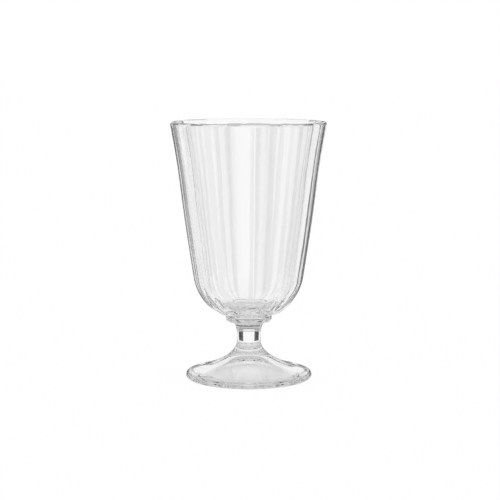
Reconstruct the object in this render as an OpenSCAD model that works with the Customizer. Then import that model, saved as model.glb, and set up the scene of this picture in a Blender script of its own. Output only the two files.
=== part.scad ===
// Footed pressed glass: a fluted, gently flared bowl on a short stem and a hollow trumpet foot.
// The origin is the middle of the foot on the table, +Z is up, and a ridge faces the front, -Y.
// The four pieces are fused end to end: foot, stem, collar and bowl meet on flat round faces.

/* [Foot] */
// Diameter of the foot at its widest
foot_d = 68.8; // [60:0.2:80]
// Height from the table to the top of the foot
foot_h = 17.8; // [15:0.1:22]
// Height of the rounded edge of the foot
edge_h = 3.9; // [3:0.1:5.5]
// How far the edge draws in underneath, from its widest to the ring that rests on the table
edge_under = 2.5; // [1.5:0.1:4]
// Width of the flat ring on which the foot rests
rest_w = 2.4; // [1.6:0.1:4]
// Height of the hollow under the foot
hollow_h = 9.5; // [7:0.5:11]

/* [Stem] */
// Height of the stem
stem_h = 9.2; // [7:0.1:40]
// Diameter of the stem at its waist
stem_d = 13; // [10:0.2:18]
// How far the stem swells towards the foot, on the radius
foot_swell = 0.7; // [0.2:0.05:1.2]
// How far the stem swells towards the collar, on the radius
collar_swell = 0.4; // [0.2:0.05:1.2]

/* [Collar] */
// Height of the collar between the stem and the bowl
collar_h = 4.3; // [3:0.1:7]
// How far the collar flares out from the stem's end, on the radius
collar_w = 3.1; // [1.8:0.1:4]

/* [Bowl] */
// Height of the bowl, from the collar to the rim
bowl_h = 108.7; // [90:0.1:125]
// Diameter of the rim
rim_d = 84.6; // [76:0.2:94]
// Diameter of the scalloped ring at the foot of the bowl
ring_d = 25; // [22.4:0.2:30]
// Height of the scalloped ring
ring_h = 3.5; // [2.6:0.1:5]
// Rounding of the ring's lower edge
ring_round = 1.1; // [0.6:0.1:1.6]
// Diameter of the bowl where the shoulder becomes the wall
shoulder_d = 59.8; // [52:0.2:64]
// Height of the shoulder
shoulder_h = 20.1; // [14:0.1:24]
// Thickness of the wall at the ridges between the flutes
wall_t = 4.6; // [3.6:0.1:5.6]
// Thickness of the floor in the middle
floor_t = 6.9; // [5:0.1:9]
// Height in which the lip rounds over
lip_h = 1.6; // [1:0.1:3]

/* [Flutes] */
// Number of flutes around the bowl
flute_n = 12; // [8:1:16]
// Depth of a flute at the rim, below the ridges beside it
flute_depth = 0.9; // [0.4:0.05:1.8]
// Depth of the scallops in which the flutes end on the ring
scallop_depth = 0.6; // [0.2:0.05:1]

/* [Hidden] */

// Fineness of the curves
$fn = 96;
flute_steps = 8;
shoulder_steps = 9;
wall_steps = 11;
lip_steps = 8;
floor_steps = 7;
foot_steps = 14;
edge_steps = 4;
collar_steps = 8;
stem_steps = 12;

foot_r = foot_d / 2;
stem_r = stem_d / 2;
stem_foot_r = stem_r + foot_swell;
stem_top_r = stem_r + collar_swell;
collar_r = stem_top_r + collar_w;
ring_r = ring_d / 2;
shoulder_r = shoulder_d / 2;
rim_r = rim_d / 2;

stem_z = foot_h;
collar_z = stem_z + stem_h;
bowl_z = collar_z + collar_h;

// Heights on the bowl, from its own base
shoulder_z = ring_h + shoulder_h;
lip_z = bowl_h - lip_h;

// Pull of the curves' middle points, as shares of the way across and up each curve
foot_curve_shares = [[0.09, 0.42], [0.48, 0.74]];
hollow_curve_shares = [[0.54, 0.34], [0.70, 1]];
collar_curve_shares = [[0.02, 0.40], [0.42, 0.76]];
shoulder_curve_shares = [[0.62, 0.09], [0.94, 0.66]];
wall_curve_shares = [[0.75, 0.70], [0.44, 0.54]];
floor_curve_shares = [[0.06, 0.54], [0.38, 1]];

// Point of a cubic curve through four points
function bezier(p, t) = p[0] * pow(1 - t, 3) + 3 * p[1] * t * pow(1 - t, 2)
    + 3 * p[2] * t * t * (1 - t) + p[3] * pow(t, 3);

// Four points of a curve from a to b whose middle points lie at the given shares of the way
function span(a, b, shares) = concat(
    [a], [for (s = shares) [a.x + (b.x - a.x) * s.x, a.y + (b.y - a.y) * s.y]], [b]);

function curve(a, b, shares, steps, first = 0) =
    [for (i = [first : steps]) bezier(span(a, b, shares), i / steps)];

// Part of an ellipse, between two angles counted from its outside
function arc(middle, across, up, from, to, steps, first = 0) =
    [for (i = [first : steps])
        let (a = from + (to - from) * i / steps) middle + [across * cos(a), up * sin(a)]];

// Foot: trumpet top, rounded edge, flat ring to rest on, and a hollow underneath
module foot() {
    edge_r = edge_h / 2;
    under_x = foot_r - edge_under;
    color([0.80, 0.88, 0.90, 0.6]) rotate_extrude() polygon(concat(
        [[0, foot_h]],
        curve([stem_foot_r, foot_h], [foot_r - edge_r, edge_h], foot_curve_shares, foot_steps),
        arc([foot_r - edge_r, edge_r], edge_r, edge_r, 90, 0, edge_steps, 1),
        arc([under_x, edge_r], edge_under, edge_r, 0, -90, edge_steps, 1),
        curve([under_x - rest_w, 0], [0, hollow_h], hollow_curve_shares, foot_steps)
    ));
}

// Stem: a short pillar with a slight waist
module stem() {
    color([0.72, 0.83, 0.86, 0.6]) translate([0, 0, stem_z]) rotate_extrude() polygon(concat(
        [[0, 0]],
        [for (i = [0 : stem_steps])
            let (share = i / stem_steps, swell = share < 0.5 ? foot_swell : collar_swell)
            [stem_r + swell * pow(2 * share - 1, 4), stem_h * share]],
        [[0, stem_h]]
    ));
}

// Collar: the flared neck that joins the bowl to the stem
module collar() {
    color([0.84, 0.90, 0.92, 0.6]) translate([0, 0, collar_z]) rotate_extrude() polygon(concat(
        [[0, 0]],
        curve([stem_top_r, 0], [collar_r, collar_h], collar_curve_shares, collar_steps),
        [[0, collar_h]]
    ));
}

// Outline of the bowl along a ridge: up the outside, over the lip and down the inside.
// The wall keeps one thickness, so the inside follows the same curve as the outside.
ridge_base = concat(
    arc([ring_r - ring_round, ring_round], ring_round, ring_round, -90, 0, 2),
    curve([ring_r, ring_h], [shoulder_r, shoulder_z], shoulder_curve_shares, shoulder_steps));

ridge_wall = curve([shoulder_r, shoulder_z], [rim_r, lip_z], wall_curve_shares, wall_steps);

lip = arc([rim_r - wall_t / 2, lip_z], wall_t / 2, lip_h, 0, 180, lip_steps, 1);

inner_wall = [for (i = [wall_steps - 1 : -1 : 0]) ridge_wall[i] - [wall_t, 0]];

inner_floor = curve([shoulder_r - wall_t, shoulder_z], [0, floor_t], floor_curve_shares, floor_steps, 1);

// All levels of the loft: radius, height, and the radius of the ridges where flutes cut in
bowl_levels = concat(
    [for (p = ridge_base) [p.x, p.y, p.x]],
    [for (i = [1 : wall_steps]) [ridge_wall[i].x, ridge_wall[i].y, ridge_wall[i].x]],
    [for (i = [0 : lip_steps / 2 - 1]) [lip[i].x, lip[i].y, rim_r]],
    [for (i = [lip_steps / 2 : lip_steps - 1]) [lip[i].x, lip[i].y, 0]],
    [for (p = inner_wall) [p.x, p.y, 0]],
    [for (i = [0 : floor_steps - 2]) [inner_floor[i].x, inner_floor[i].y, 0]]);

// Depth of a flute at a height: it narrows with the bowl and deepens again towards the ring
function cut(ridge_r, z) = let (share = min(1, max(0, (z - ring_h) / shoulder_h)))
    scallop_depth * (1 - share) + flute_depth * ridge_r / rim_r * share;

// Radius at an angle counted from the front ridge. At the lip a flute ends where the
// rounding has drawn in as far as the flute is deep.
function fluted(r, z, ridge_r, angle) =
    min(r, ridge_r - cut(ridge_r, z) * abs(sin(flute_n * angle / 2)));

// Bowl: one closed body lofted through its levels, with flutes that meet in sharp ridges
module bowl() {
    across = flute_n * flute_steps;
    up = len(bowl_levels);
    walls = [for (level = bowl_levels, i = [0 : across - 1])
        let (angle = 360 * i / across,
             r = level.z > 0 ? fluted(level.x, level.y, level.z, angle) : level.x)
        [r * sin(angle), -r * cos(angle), level.y]];
    ends = [[0, 0, 0], [0, 0, floor_t]];
    base = len(walls);
    color([0.88, 0.94, 0.95, 0.5]) translate([0, 0, bowl_z]) polyhedron(concat(walls, ends), concat(
        [for (k = [0 : up - 2], i = [0 : across - 1])
            let (a = k * across + i, b = k * across + (i + 1) % across) [a, a + across, b]],
        [for (k = [0 : up - 2], i = [0 : across - 1])
            let (a = k * across + i, b = k * across + (i + 1) % across) [b, a + across, b + across]],
        [for (i = [0 : across - 1]) [i, (i + 1) % across, base]],
        [for (i = [0 : across - 1])
            let (top = (up - 1) * across) [top + (i + 1) % across, top + i, base + 1]]
    ));
}

bowl();
collar();
stem();
foot();
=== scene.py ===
"""Looks of a footed glass with a fluted bowl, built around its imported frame.

Lengths are in metres, +Z is up, the glass stands on z = 0 and a ridge faces the front, -Y.
"""
import logging
import math
from collections.abc import Sequence
from dataclasses import dataclass, field
from enum import Enum

import bmesh
import bpy
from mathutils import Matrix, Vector


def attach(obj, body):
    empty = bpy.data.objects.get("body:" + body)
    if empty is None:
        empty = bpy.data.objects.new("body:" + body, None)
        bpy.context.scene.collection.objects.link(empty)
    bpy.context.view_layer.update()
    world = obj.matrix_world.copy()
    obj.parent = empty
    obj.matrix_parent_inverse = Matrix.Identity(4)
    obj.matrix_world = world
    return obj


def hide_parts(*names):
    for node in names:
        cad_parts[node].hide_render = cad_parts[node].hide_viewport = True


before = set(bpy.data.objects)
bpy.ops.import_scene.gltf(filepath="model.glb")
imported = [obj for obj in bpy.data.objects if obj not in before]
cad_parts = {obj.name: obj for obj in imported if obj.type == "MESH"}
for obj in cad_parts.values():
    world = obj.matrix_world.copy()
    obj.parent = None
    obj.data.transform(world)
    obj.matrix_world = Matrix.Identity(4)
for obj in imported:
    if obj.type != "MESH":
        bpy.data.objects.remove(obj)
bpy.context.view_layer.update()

LOG = logging.getLogger("glass")
MM = 0.001
FLAT = 1e-7
SHARP_ANGLE = math.radians(40)
CUT_LAYER = "cut"
MERGE = 0.0005 * MM

Point = tuple[float, float]
Outline = list[Point]


# Curves that the outlines are made of


@dataclass(frozen=True)
class Sweep:
    """A cubic curve whose two middle points lie at shares of the way across and up it."""

    shares: tuple[Point, Point]
    steps: int

    def at(self, start: Point, end: Point, place: float) -> Point:
        """Find one point of the curve.

        Args:
            start: Where the curve begins.
            end: Where it ends.
            place: How far along it the point lies, from 0 to 1.

        Returns:
            The point's radius and height.
        """
        found = []
        for axis in (0, 1):
            reach = end[axis] - start[axis]
            near, far = (start[axis] + reach * share[axis] for share in self.shares)
            rest = 1 - place
            found.append(start[axis] * rest ** 3 + 3 * near * place * rest ** 2
                         + 3 * far * place ** 2 * rest + end[axis] * place ** 3)
        return found[0], found[1]

    def points(self, start: Point, end: Point) -> Outline:
        """Return the curve's points from start to end, both included."""
        return [self.at(start, end, i / self.steps) for i in range(self.steps + 1)]


def arc(middle: Point, across: float, up: float, first: float, last: float, steps: int) -> Outline:
    """Lay points on part of an ellipse.

    Args:
        middle: The ellipse's middle.
        across: Its half width.
        up: Its half height.
        first: The angle at which the arc begins, in degrees from the outside.
        last: The angle at which it ends.
        steps: How many steps it is made in.

    Returns:
        The points, both ends included.
    """
    turns = [math.radians(first + (last - first) * i / steps) for i in range(steps + 1)]
    return [(middle[0] + across * math.cos(a), middle[1] + up * math.sin(a)) for a in turns]


def eased(corner: Point, before: Point, after: Point, reach: float, steps: int = 5) -> Outline:
    """Round a corner of an outline.

    Args:
        corner: The sharp corner.
        before: A point towards which the outline comes in.
        after: A point towards which it goes on.
        reach: How far from the corner the rounding begins.
        steps: How many steps it is made in.

    Returns:
        The points of the rounding, from the side of before to the side of after.
    """
    middle = Vector(corner)
    start = middle + (Vector(before) - middle).normalized() * reach
    end = middle + (Vector(after) - middle).normalized() * reach
    found = []
    for i in range(steps + 1):
        place = i / steps
        point = start * (1 - place) ** 2 + middle * 2 * place * (1 - place) + end * place ** 2
        found.append((point.x, point.y))
    return found


# Shader nodes, written as expressions


class Value:
    """A number socket on which arithmetic adds Math nodes."""

    def __init__(self, graph: "Graph", socket: bpy.types.NodeSocket) -> None:
        """Keep the socket and the graph that it belongs to."""
        self.graph = graph
        self.socket = socket

    def _sum(self, operation: str, first: object, second: object) -> "Value":
        """Add one Math node and return its result."""
        return self.graph.add("ShaderNodeMath", {"operation": operation}, {0: first, 1: second})

    def __add__(self, other: object) -> "Value":
        """Return self + other."""
        return self._sum("ADD", self, other)

    __radd__ = __add__

    def __sub__(self, other: object) -> "Value":
        """Return self - other."""
        return self._sum("SUBTRACT", self, other)

    def __rsub__(self, other: object) -> "Value":
        """Return other - self."""
        return self._sum("SUBTRACT", other, self)

    def __mul__(self, other: object) -> "Value":
        """Return self * other."""
        return self._sum("MULTIPLY", self, other)

    __rmul__ = __mul__


class Graph:
    """The node tree of one material or of the world."""

    def __init__(self, owner: bpy.types.ID) -> None:
        """Empty the owner's node tree and keep it.

        Args:
            owner: The material or world whose nodes are built.
        """
        owner.use_nodes = True
        self.tree = owner.node_tree
        self.tree.nodes.clear()

    def add(self, kind: str, settings: dict | None = None, inputs: dict | None = None,
            output: int | str = 0) -> Value:
        """Add a node, set it up and link it.

        Args:
            kind: The node's type.
            settings: The node's own settings, which are set first.
            inputs: The values or links of its sockets, by name or place.
            output: The socket that is returned.

        Returns:
            The chosen output, or the node's first input if it has none.
        """
        node = self.tree.nodes.new(kind)
        for name, setting in (settings or {}).items():
            setattr(node, name, setting)
        for name, given in (inputs or {}).items():
            if isinstance(given, Value):
                self.tree.links.new(given.socket, node.inputs[name])
            else:
                node.inputs[name].default_value = given
        return Value(self, (node.outputs or node.inputs)[output])


# Finishes


@dataclass(frozen=True)
class ClearGlass:
    """Clear pressed glass with a fire polish: sharp, bright, and a little wavy."""

    tint: tuple[float, float, float] = (0.974, 0.977, 0.977)
    index: float = 1.51
    roughness: float = 0.012
    wave_height: float = 0.00012
    wave_size: float = 0.014
    wave_stretch: float = 0.45
    quick_share: float = 0.2

    def material(self) -> bpy.types.Material:
        """Return the finish as a Blender material.

        Returns:
            The material, made anew.
        """
        made = bpy.data.materials.new("clear_glass")
        graph = Graph(made)
        place = graph.add("ShaderNodeTexCoord", output="Object")
        drawn = graph.add("ShaderNodeMapping", inputs={
            "Vector": place, "Scale": (1, 1, self.wave_stretch)})
        noise = {"noise_dimensions": "3D"}
        slow = graph.add("ShaderNodeTexNoise", noise,
                         {"Vector": drawn, "Scale": 1 / self.wave_size, "Detail": 1.0})
        quick = graph.add("ShaderNodeTexNoise", noise,
                          {"Vector": place, "Scale": 3 / self.wave_size, "Detail": 2.0})
        height = slow * (1 - self.quick_share) + quick * self.quick_share
        bump = graph.add("ShaderNodeBump", inputs={
            "Height": height, "Distance": self.wave_height, "Strength": 1.0})
        glass = graph.add("ShaderNodeBsdfPrincipled", inputs={
            "Base Color": (*self.tint, 1), "Roughness": quick * self.roughness + self.roughness / 2,
            "IOR": self.index, "Transmission Weight": 1.0, "Normal": bump})
        graph.add("ShaderNodeOutputMaterial", inputs={"Surface": glass})
        return made


@dataclass(frozen=True)
class FusedJoint:
    """The face inside the glass where two pieces are fused: nothing of it shows."""

    def material(self) -> bpy.types.Material:
        """Return the finish as a Blender material.

        Returns:
            The material, made anew.
        """
        made = bpy.data.materials.new("fused_joint")
        graph = Graph(made)
        clear = graph.add("ShaderNodeBsdfPrincipled", inputs={"Alpha": 0.0})
        graph.add("ShaderNodeOutputMaterial", inputs={"Surface": clear})
        return made


class Coat(Enum):
    """What a face of a piece is covered with, as its material slot."""

    GLASS = 0
    JOINT = 1


# Pieces of the glass


@dataclass
class GlassPiece:
    """One piece of the glass: an outline spun round the upright axis."""

    name: str
    node: str
    base: float
    finishes: tuple[bpy.types.Material, bpy.types.Material]
    sectors: int = 12
    steps: int = 30

    def outline(self) -> Outline:
        """Return the piece's outline from its own base, as radius and height."""
        raise NotImplementedError

    def joints(self) -> list[Point]:
        """Return the radius and height of each face that is fused to a neighbour."""
        raise NotImplementedError

    def cuts(self) -> list[float]:
        """Return how deep each point of the outline is cut. A plain piece has no cuts."""
        return []

    def carve(self, mesh: bmesh.types.BMesh) -> None:
        """Cut into the spun shape. A plain round piece has nothing cut."""

    def _is_joint(self, face: bmesh.types.BMFace) -> bool:
        """Tell whether a face lies in one of the fused discs."""
        return any(all(abs(v.co.z - height) < FLAT and v.co.xy.length < radius + MERGE
                       for v in face.verts) for radius, height in self.joints())

    def build(self) -> bpy.types.Object:
        """Spin, carve and dress the piece.

        Returns:
            The finished object, in place and riding on the frame.
        """
        mesh = bmesh.new()
        depth = mesh.verts.layers.float.new(CUT_LAYER)
        verts = [mesh.verts.new((x, 0, z)) for x, z in self.outline()]
        for vert, cut in zip(verts, self.cuts()):
            vert[depth] = cut
        edges = [mesh.edges.new(pair) for pair in zip(verts, verts[1:])]
        turn = {"cent": (0, 0, 0), "axis": (0, 0, 1), "dvec": (0, 0, 0)}
        share = math.tau / self.sectors
        bmesh.ops.spin(mesh, geom=verts + edges, angle=share, steps=self.steps, **turn)
        bmesh.ops.spin(mesh, geom=mesh.verts[:] + mesh.edges[:] + mesh.faces[:],
                       angle=math.tau - share, steps=self.sectors - 1, use_duplicate=True, **turn)
        bmesh.ops.remove_doubles(mesh, verts=mesh.verts[:], dist=MERGE)
        self.carve(mesh)
        mesh.verts.layers.float.remove(mesh.verts.layers.float[CUT_LAYER])
        bmesh.ops.recalc_face_normals(mesh, faces=mesh.faces[:])
        for face in mesh.faces:
            face.smooth = True
            face.material_index = (Coat.JOINT if self._is_joint(face) else Coat.GLASS).value
        bmesh.ops.translate(mesh, verts=mesh.verts[:], vec=(0, 0, self.base))
        data = bpy.data.meshes.new(self.name)
        mesh.to_mesh(data)
        mesh.free()
        data.set_sharp_from_angle(angle=SHARP_ANGLE)
        for finish in self.finishes:
            data.materials.append(finish)
        made = bpy.data.objects.new(self.name, data)
        bpy.context.scene.collection.objects.link(made)
        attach(made, "root")
        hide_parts(self.node)
        return made


@dataclass
class Foot(GlassPiece):
    """The trumpet foot, with a half-round edge, a flat ring to rest on and a hollow below."""

    radius: float = 34.4 * MM
    height: float = 17.8 * MM
    edge: float = 3.9 * MM
    edge_under: float = 2.5 * MM
    rest: float = 2.4 * MM
    hollow: float = 9.5 * MM
    neck: float = 7.2 * MM
    top: Sweep = Sweep(((0.09, 0.42), (0.48, 0.74)), 52)
    below: Sweep = Sweep(((0.54, 0.34), (0.70, 1.0)), 44)

    def outline(self) -> Outline:
        """Return the outline from the top's middle round to the hollow's.

        Returns:
            The points, as radius and height from the foot's base.
        """
        half = self.edge / 2
        upper = arc((self.radius - half, half), half, half, 90, 0, 14)
        under_x = self.radius - self.edge_under
        lower = arc((under_x, half), self.edge_under, half, 0, -90, 16)
        hollow = self.below.points((under_x - self.rest, 0), (0, self.hollow))
        return [(0, self.height), *self.top.points((self.neck, self.height), upper[0]),
                *upper[1:], *lower[1:], *hollow]

    def joints(self) -> list[Point]:
        """Return the disc under the stem."""
        return [(self.neck, self.height)]


@dataclass
class Stem(GlassPiece):
    """The short pillar with a slight waist."""

    height: float = 9.2 * MM
    waist: float = 6.5 * MM
    foot_swell: float = 0.7 * MM
    top_swell: float = 0.4 * MM
    rises: int = 36

    def outline(self) -> Outline:
        """Return the outline from the lower disc up to the upper one.

        Returns:
            The points, as radius and height from the stem's base.
        """
        ups = [i / self.rises for i in range(self.rises + 1)]
        side = [(self.waist + (self.foot_swell if up < 0.5 else self.top_swell)
                 * (2 * up - 1) ** 4, self.height * up) for up in ups]
        return [(0, 0), *side, (0, self.height)]

    def joints(self) -> list[Point]:
        """Return the discs at both ends."""
        return [(self.waist + self.foot_swell, 0.0), (self.waist + self.top_swell, self.height)]


@dataclass
class Collar(GlassPiece):
    """The rounded wafer between the stem and the bowl."""

    height: float = 4.3 * MM
    neck: float = 6.9 * MM
    radius: float = 10.0 * MM
    side: Sweep = Sweep(((0.02, 0.40), (0.42, 0.76)), 28)

    def outline(self) -> Outline:
        """Return the outline from the lower disc up to the upper one."""
        return [(0, 0), *self.side.points((self.neck, 0), (self.radius, self.height)),
                (0, self.height)]

    def joints(self) -> list[Point]:
        """Return the discs at both ends."""
        return [(self.neck, 0.0), (self.radius, self.height)]


@dataclass
class Flutes:
    """The flutes pressed into the outside of the bowl."""

    count: int = 12
    depth: float = 0.9 * MM
    scallop: float = 0.6 * MM
    polish: float = 0.12 * MM


@dataclass
class Bowl(GlassPiece):
    """The fluted bowl with its scalloped ring, shoulder, wall, lip and round floor."""

    height: float = 108.7 * MM
    rim: float = 42.3 * MM
    joint: float = 10.0 * MM
    ring: float = 12.5 * MM
    ring_height: float = 3.5 * MM
    ring_round: float = 1.1 * MM
    shoulder: float = 29.9 * MM
    shoulder_height: float = 20.1 * MM
    wall: float = 4.6 * MM
    floor: float = 6.9 * MM
    lip: float = 1.6 * MM
    corner: float = 0.5 * MM
    flutes: Flutes = field(default_factory=Flutes)
    lower_side: Sweep = Sweep(((0.62, 0.09), (0.94, 0.66)), 30)
    upper_side: Sweep = Sweep(((0.75, 0.70), (0.44, 0.54)), 54)
    inner_side: Sweep = Sweep(((0.75, 0.70), (0.44, 0.54)), 34)
    inner_floor: Sweep = Sweep(((0.06, 0.54), (0.38, 1.0)), 30)

    @property
    def shoulder_top(self) -> float:
        """Return the height at which the shoulder becomes the wall."""
        return self.ring_height + self.shoulder_height

    @property
    def lip_base(self) -> float:
        """Return the height at which the lip begins to round over."""
        return self.height - self.lip

    def outline(self) -> Outline:
        """Return the outline up the outside along a ridge, over the lip and down the inside.

        Returns:
            The points, as radius and height from the bowl's base.
        """
        lower = arc((self.ring - self.ring_round, self.ring_round), self.ring_round,
                    self.ring_round, -90, 0, 8)
        shoulder = self.lower_side.points((self.ring, self.ring_height),
                                          (self.shoulder, self.shoulder_top))
        corner = eased(shoulder[0], lower[-1], shoulder[2], self.corner)
        rim = (self.rim, self.lip_base)
        outside = self.upper_side.points((self.shoulder, self.shoulder_top), rim)
        lip = arc((self.rim - self.wall / 2, self.lip_base), self.wall / 2, self.lip, 0, 180, 18)
        wall = self.inner_side.points((self.shoulder, self.shoulder_top), rim)
        inside = [(x - self.wall, z) for x, z in reversed(wall)]
        floor = self.inner_floor.points(inside[-1], (0, self.floor))
        return [(0, 0), (self.joint, 0), *lower, *corner, *shoulder[2:], *outside[1:],
                *lip[1:], *inside[1:], *floor[1:]]

    def joints(self) -> list[Point]:
        """Return the disc on the collar."""
        return [(self.joint, 0.0)]

    def _depth(self, radius: float, height: float) -> float:
        """Return how deep a flute is cut at a place on the outside.

        Args:
            radius: The radius of the ridges there.
            height: The height above the bowl's base.

        Returns:
            The depth in the middle of the flute.
        """
        share = min(1.0, max(0.0, (height - self.ring_height) / self.shoulder_height))
        return (self.flutes.scallop * (1 - share)
                + self.flutes.depth * radius / self.rim * share)

    def cuts(self) -> list[float]:
        """Return how deep the middle of a flute is cut at each point of the outline.

        Returns:
            One depth for each point, 0 where nothing is cut.
        """
        outline = self.outline()
        crest = next(i for i, place in enumerate(outline) if place[1] >= self.height - MERGE)
        return [self._depth(*place) if 2 <= i < crest else 0.0
                for i, place in enumerate(outline)]

    def carve(self, mesh: bmesh.types.BMesh) -> None:
        """Press the flutes into the outside, up into the rounding of the lip.

        Args:
            mesh: The spun bowl, standing on its own base, with its cuts in a layer.
        """
        depth = mesh.verts.layers.float[CUT_LAYER]
        for vert in mesh.verts:
            if vert[depth] > 0:
                radius = vert.co.xy.length
                turn = math.atan2(vert.co.x, -vert.co.y)
                cut = vert[depth] * abs(math.sin(self.flutes.count * turn / 2))
                if vert.co.z > self.lip_base + MERGE:
                    left = cut - (self.rim - radius)
                    cut = (left + math.hypot(left, self.flutes.polish)) / 2
                shrink = 1 - cut / radius
                vert.co.x *= shrink
                vert.co.y *= shrink


# Studio: floor, surroundings, camera and render settings


@dataclass
class Paths:
    """What light has met in the glass before it reaches the stage, as numbers from 0 to 1.

    The stage shows each kind of light its own surroundings, so that the glass looks the same
    from all sides: white straight through it, with dark outlines from what it reflects.
    """

    graph: Graph

    def light(self, output: str) -> Value:
        """Return one output of the Light Path node."""
        return self.graph.add("ShaderNodeLightPath", output=output)

    def bounced(self) -> Value:
        """Return 1 for light that the glass has reflected, outside or inside its walls."""
        return self.graph.add("ShaderNodeClamp", inputs={"Value": self.light("Glossy Depth")})

    def hollow(self) -> Value:
        """Return 1 for light that only went straight through both walls of the bowl.

        Returns:
            The number, from nodes that count the passes and leave out what was reflected.
        """
        walls = self.graph.add("ShaderNodeMath", {"operation": "GREATER_THAN"},
                               {0: self.light("Transmission Depth"), 1: 2.5})
        return walls * (1 - self.bounced())

    def solid(self) -> Value:
        """Return 1 for light that only went straight through one piece of glass."""
        return self.light("Is Transmission Ray") * (1 - self.bounced()) * (1 - self.hollow())


@dataclass(frozen=True)
class Cards:
    """Dark cards side by side in a ring, with soft edges and a white gap at the front."""

    cover: float = 0.0
    count: int = 0
    edges: tuple[float, float] = (0.0, 1.0)

    def shade(self, graph: Graph) -> Value | float:
        """Find how much the cards cover.

        Args:
            graph: The node tree of the ring that the cards stand in.

        Returns:
            The cover of the cards, and 0 in the gaps. With a count of 0 there are no gaps.
        """
        if not self.count:
            return self.cover
        place = graph.add("ShaderNodeTexCoord", output="Object")
        x, y = (graph.add("ShaderNodeSeparateXYZ", inputs={"Vector": place}, output=axis)
                for axis in ("X", "Y"))
        turn = graph.add("ShaderNodeMath", {"operation": "ARCTAN2"}, {0: x, 1: y})
        wave = graph.add("ShaderNodeMath", {"operation": "COSINE"}, {0: turn * self.count})
        return self.cover * graph.add("ShaderNodeMapRange", {"interpolation_type": "SMOOTHSTEP"}, {
            "Value": 0 - wave, "From Min": self.edges[0], "From Max": self.edges[1]})


@dataclass(frozen=True)
class Ring:
    """A dark ring round the glass, with its own cards for each kind of light."""

    name: str
    lower: Point
    upper: Point
    bounced: Cards = Cards()
    solid: Cards = Cards()
    hollow: Cards = Cards()

    def material(self) -> bpy.types.Material:
        """Return the ring's matt black, clear where no card stands.

        Returns:
            The material, made anew.
        """
        made = bpy.data.materials.new(f"{self.name}_black")
        graph = Graph(made)
        paths = Paths(graph)
        cover = (paths.bounced() * self.bounced.shade(graph)
                 + paths.solid() * self.solid.shade(graph)
                 + paths.hollow() * self.hollow.shade(graph))
        matt = graph.add("ShaderNodeBsdfDiffuse", inputs={"Color": (0.02, 0.02, 0.02, 1)})
        clear = graph.add("ShaderNodeBsdfTransparent")
        mixed = graph.add("ShaderNodeMixShader", inputs={0: cover, 1: clear, 2: matt})
        graph.add("ShaderNodeOutputMaterial", inputs={"Surface": mixed})
        return made

    def mesh(self) -> bmesh.types.BMesh:
        """Return the ring as a spun strip.

        Returns:
            The mesh, which the caller frees.
        """
        made = bmesh.new()
        verts = [made.verts.new((radius, 0, height)) for radius, height in (self.lower, self.upper)]
        bmesh.ops.spin(made, geom=[*verts, made.edges.new(verts)], cent=(0, 0, 0), axis=(0, 0, 1),
                       dvec=(0, 0, 0), angle=math.tau, steps=96, use_merge=True)
        return made


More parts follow.
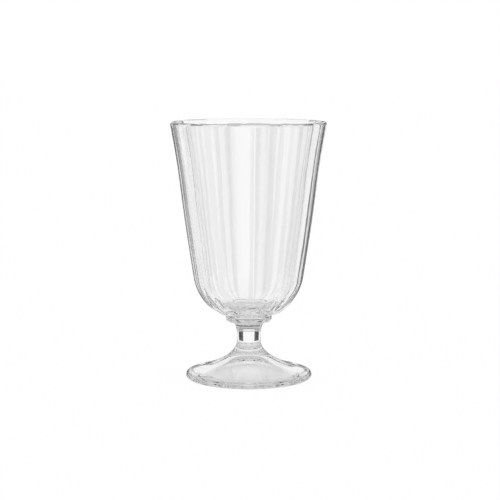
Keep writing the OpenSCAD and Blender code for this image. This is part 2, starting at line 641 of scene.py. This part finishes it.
@dataclass
class Studio:
    """The plain pale floor with a painted shadow under the foot, the white surroundings and the
    dark rings that edge the glass.

    The camera and the rings stand a few degrees round from the front, by turn.
    """

    floor_radius: float = 8.0
    floor_gap: float = 0.05 * MM
    turn: float = math.radians(-4.5)
    distance: float = 0.854
    eye_height: float = 0.1769
    tilt: float = math.radians(82.88)
    aim: float = math.radians(-0.0436)
    lens: float = 113.98
    shadow: float = 0.03
    # The next three numbers make a painted shadow on the floor under the foot, seen only through
    # the glass: its darkening at the middle, its growth per metre outwards, and the radii over
    # which it fades out.
    under: float = 0.12
    painted_shadow_slope: float = 6.5
    painted_shadow_edges: tuple[float, float] = (0.030, 0.045)
    reflected: float = 0.92
    overhead: float = 0.6
    overhead_edges: tuple[float, float] = (0.42, 0.5)
    ceiling: float = 0.1
    ceiling_edges: tuple[float, float] = (0.1, 0.24)
    rings: tuple[Ring, ...] = (
        Ring("far_cards", (0.08, 0.0), (1.3, 0.62),
             bounced=Cards(0.95, 6, (0.6, 0.78)), hollow=Cards(0.12, 24, (-0.3, 0.7))),
        Ring("near_cards", (0.07, 0.0), (0.07, 0.03), solid=Cards(0.95, 6, (0.1, 0.4))),
        Ring("edge_cards", (0.045, 0.0), (0.045, 0.006), bounced=Cards(0.9, 18, (0.0, 0.4))),
        Ring("low_wall", (2.6, 0.0), (2.6, 0.28), bounced=Cards(0.95), solid=Cards(0.38)),
    )

    def _stage(self, name: str, mesh: bmesh.types.BMesh,
               material: bpy.types.Material) -> bpy.types.Object:
        """Put a mesh on the stage as something that isn't part of the glass.

        Args:
            name: What the object is called.
            mesh: Its shape, which is freed here.
            material: What it is covered with.

        Returns:
            The object, linked into the scene.
        """
        data = bpy.data.meshes.new(name)
        mesh.to_mesh(data)
        mesh.free()
        data.materials.append(material)
        made = bpy.data.objects.new(name, data)
        bpy.context.scene.collection.objects.link(made)
        return made

    def build_floor(self) -> None:
        """Lay the floor a hair under the foot: white to the eye, with a faint shadow on it, and a
        painted shadow under the foot that only the glass shows.
        """
        white = bpy.data.materials.new("floor_white_painted_shadow")
        graph = Graph(white)
        paths = Paths(graph)
        matt = graph.add("ShaderNodeBsdfDiffuse", inputs={"Color": (0.9, 0.9, 0.9, 1)})
        seen = paths.light("Is Camera Ray")
        for ray in ("Is Glossy Ray", "Is Transmission Ray"):
            seen = seen + paths.light(ray)
        place = graph.add("ShaderNodeTexCoord", output="Object")
        away = graph.add("ShaderNodeVectorMath", {"operation": "LENGTH"}, {0: place}, "Value")
        near = graph.add("ShaderNodeMapRange", {"interpolation_type": "SMOOTHSTEP"}, {
            "Value": away, "From Min": self.painted_shadow_edges[0], "From Max": self.painted_shadow_edges[1],
            "To Min": 1.0, "To Max": 0.0})
        # Painted shadow: for light that comes through the glass the floor is darker under the foot,
        # darkest towards the foot's rim; the camera never sees it.
        painted_shadow = near * (away * self.painted_shadow_slope + self.under) * (1 - paths.light("Is Camera Ray"))
        glow = (1 - paths.bounced() * (1 - self.reflected)) * (1 - painted_shadow)
        shine = graph.add("ShaderNodeEmission", inputs={"Color": glow})
        mixed = graph.add("ShaderNodeMixShader",
                          inputs={0: seen * (1 - self.shadow), 1: matt, 2: shine})
        graph.add("ShaderNodeOutputMaterial", inputs={"Surface": mixed})
        mesh = bmesh.new()
        bmesh.ops.create_circle(mesh, cap_ends=True, segments=96, radius=self.floor_radius)
        bmesh.ops.translate(mesh, verts=mesh.verts[:], vec=(0, 0, -self.floor_gap))
        self._stage("floor", mesh, white)

    def build_rings(self) -> None:
        """Stand the dark rings round the glass, where only the glass shows them."""
        for ring in self.rings:
            made = self._stage(ring.name, ring.mesh(), ring.material())
            made.rotation_euler.z = self.turn
            made.visible_camera = False
            made.visible_diffuse = False
            made.visible_shadow = False

    def build_world(self) -> None:
        """Surround the stage with white, dimmer overhead for what the glass shows of it."""
        world = bpy.data.worlds.new("studio")
        bpy.context.scene.world = world
        graph = Graph(world)
        paths = Paths(graph)
        place = graph.add("ShaderNodeTexCoord", output="Generated")
        height = graph.add("ShaderNodeSeparateXYZ", inputs={"Vector": place}, output="Z")
        high = graph.add("ShaderNodeMapRange", inputs={
            "Value": height, "From Min": self.overhead_edges[0],
            "From Max": self.overhead_edges[1]})
        roof = graph.add("ShaderNodeMapRange", {"interpolation_type": "SMOOTHSTEP"}, {
            "Value": height, "From Min": self.ceiling_edges[0], "From Max": self.ceiling_edges[1]})
        dimmed = self.reflected * (1 - high * (1 - self.overhead))
        glow = 1 - paths.bounced() * (1 - dimmed) - paths.solid() * roof * (1 - self.ceiling)
        white = graph.add("ShaderNodeBackground", inputs={"Color": glow})
        graph.add("ShaderNodeOutputWorld", inputs={"Surface": white})

    def build_camera(self) -> None:
        """Stand the camera where the photograph was taken from."""
        data = bpy.data.cameras.new("camera")
        data.sensor_width = 36
        data.lens = self.lens
        data.clip_start = 0.01
        camera = bpy.data.objects.new("camera", data)
        bpy.context.scene.collection.objects.link(camera)
        camera.location = (self.distance * math.sin(self.turn),
                           -self.distance * math.cos(self.turn), self.eye_height)
        camera.rotation_euler = (self.tilt, 0, self.turn + self.aim)
        bpy.context.scene.camera = camera

    def set_rendering(self) -> None:
        """Let light pass often enough through the thick glass, and keep colours as written."""
        scene = bpy.context.scene
        scene.view_settings.view_transform = "Standard"
        cycles = scene.cycles
        cycles.max_bounces = 32
        cycles.transmission_bounces = 32
        cycles.glossy_bounces = 24
        cycles.transparent_max_bounces = 24
        cycles.use_denoising = True

    def build(self) -> None:
        """Set up the whole studio."""
        self.build_camera()
        self.build_floor()
        self.build_rings()
        self.build_world()
        self.set_rendering()


def main() -> None:
    """Build the studio and the four pieces of the glass, and report each piece."""
    logging.basicConfig(level=logging.INFO, format="%(name)s: %(message)s")
    Studio().build()
    finishes = (ClearGlass().material(), FusedJoint().material())
    pieces: Sequence[GlassPiece] = (
        Foot("foot_glass", "foot", 0.0, finishes),
        Stem("stem_glass", "stem", 17.8 * MM, finishes),
        Collar("collar_glass", "collar", 27.0 * MM, finishes),
        Bowl("bowl_glass", "bowl", 31.3 * MM, finishes, steps=40),
    )
    for piece in pieces:
        made = piece.build()
        LOG.info("%s: %d faces", made.name, len(made.data.polygons))


if __name__ == "__main__":
    main()
